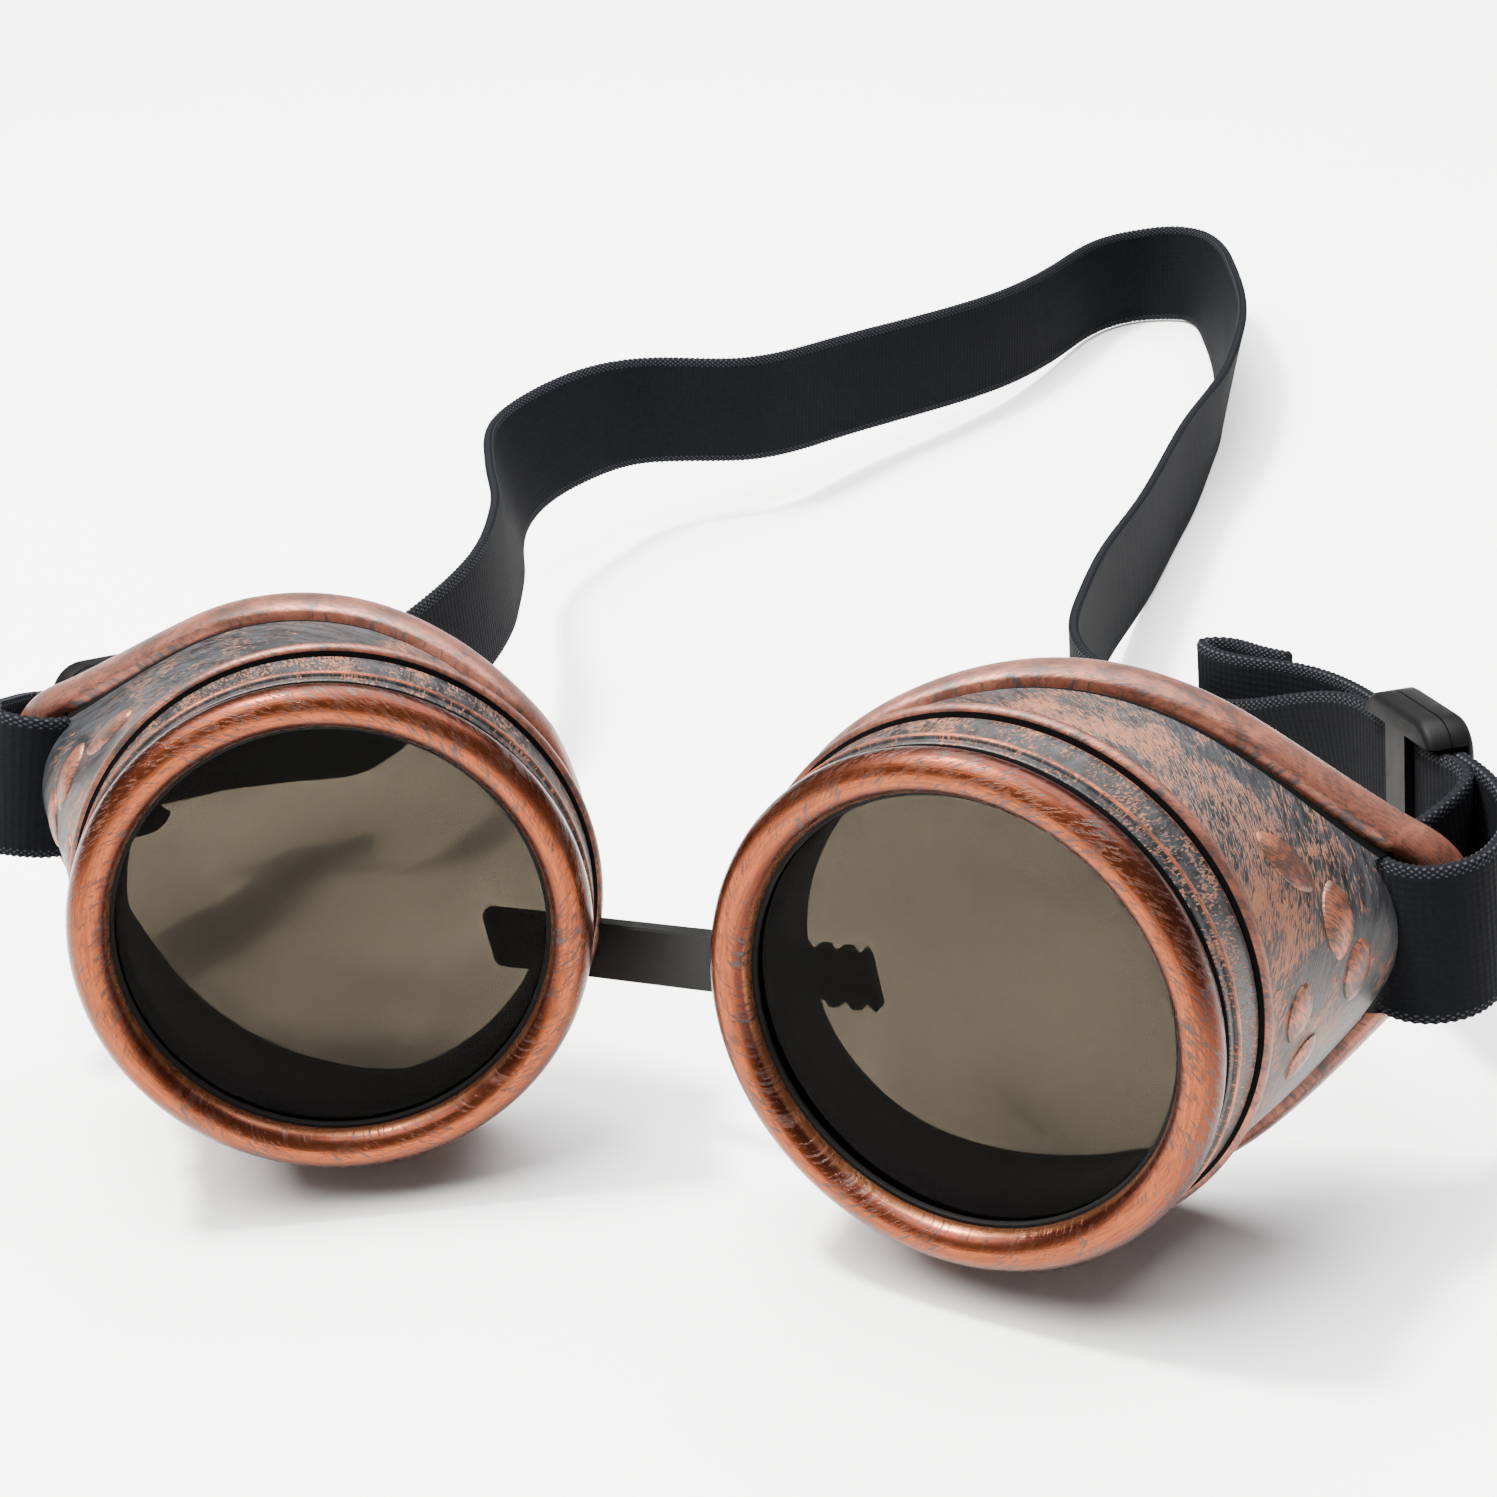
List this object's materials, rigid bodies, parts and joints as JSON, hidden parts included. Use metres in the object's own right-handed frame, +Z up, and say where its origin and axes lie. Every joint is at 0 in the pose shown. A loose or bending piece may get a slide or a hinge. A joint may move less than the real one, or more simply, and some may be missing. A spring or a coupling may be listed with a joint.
{
  "type": "welding goggles",
  "caption": "Round-lens welding goggles with screw-on lens caps, side-vented flared eye cups, an adjustable nose strip and an elastic headband with sliders.",
  "frame": {"origin": "bottom centre of the whole object's box, on the surface it stands on", "axes": "+Z up; the lenses face -Y and the headband trails towards +Y; -X is the left cup as seen from the front, which is the wearer's right"},
  "size_m": [0.1844, 0.3014, 0.0631],
  "materials": {
    "copper_cap": "antiqued copper finish, brushed",
    "copper_cup": "black moulding dry-brushed with copper",
    "tinted_glass": "smoky olive tint",
    "clear_glass": "clear",
    "gasket_rubber": "matt black",
    "elastic_webbing": "woven elastic, ribbed",
    "stitching_thread": "black thread",
    "slider_plastic": "satin black",
    "strip_rubber": "satin black"
  },
  "bodies": {
    "band_and_strip": {"nose_strip": "strip_rubber", "headband": "elastic_webbing"},
    "left_cup": {"left_eye_cup": "copper_cup", "left_strap_loop": "elastic_webbing", "left_hem_stitches": "stitching_thread"},
    "left_lens_pack": {"left_front_gasket": "gasket_rubber", "left_tinted_lens": "tinted_glass", "left_clear_lens": "clear_glass", "left_seat_gasket": "gasket_rubber"},
    "left_cap": {"left_screw_cap": "copper_cap"},
    "left_glide": {"left_tri_glide": "slider_plastic"},
    "right_cup": {"right_eye_cup": "copper_cup", "right_strap_loop": "elastic_webbing", "right_hem_stitches": "stitching_thread"},
    "right_lens_pack": {"right_front_gasket": "gasket_rubber", "right_tinted_lens": "tinted_glass", "right_clear_lens": "clear_glass", "right_seat_gasket": "gasket_rubber"},
    "right_cap": {"right_screw_cap": "copper_cap"},
    "right_glide": {"right_tri_glide": "slider_plastic"}
  },
  "joints": [
    {"name": "left_bridge_flex", "type": "hinge", "parent": "band_and_strip", "child": "left_cup", "pos_m": [-0.01275, -0.11535, 0.0216], "axis": [0, 0, 1], "range_deg": [-5, 5]},
    {"name": "right_strip_slide", "type": "slide", "parent": "band_and_strip", "child": "right_cup", "axis": [0.9573, -0.2288, 0.1768], "range_m": [-0.003, 0.003]},
    {"name": "left_lens_advance", "type": "slide", "parent": "left_cup", "child": "left_lens_pack", "axis": [0.4028, -0.9047, 0.1392], "range_m": [0, 0.00326]},
    {"name": "left_cap_unscrew", "type": "hinge", "parent": "left_lens_pack", "child": "left_cap", "pos_m": [-0.03085, -0.1391, 0.0343], "axis": [0.4028, -0.9047, 0.1392], "range_deg": [0, 390]},
    {"name": "left_glide_slide", "type": "slide", "parent": "left_cup", "child": "left_glide", "axis": [0.3177, 0.9121, -0.2592], "range_m": [0, 0.008]},
    {"name": "right_lens_advance", "type": "slide", "parent": "right_cup", "child": "right_lens_pack", "axis": [-0.1549, -0.9781, 0.1392], "range_m": [0, 0.00326]},
    {"name": "right_cap_unscrew", "type": "hinge", "parent": "right_lens_pack", "child": "right_cap", "pos_m": [0.04005, -0.1391, 0.0347], "axis": [-0.1549, -0.9781, 0.1392], "range_deg": [0, 390]},
    {"name": "right_glide_slide", "type": "slide", "parent": "right_cup", "child": "right_glide", "axis": [-0.5568, 0.815, -0.1607], "range_m": [-0.005, 0.005]}
  ],
  "couplings": [
    {"joint": "left_lens_advance", "follows": "left_cap_unscrew", "m_per_rad": 0.00047746},
    {"joint": "right_lens_advance", "follows": "right_cap_unscrew", "m_per_rad": 0.00047746}
  ]
}
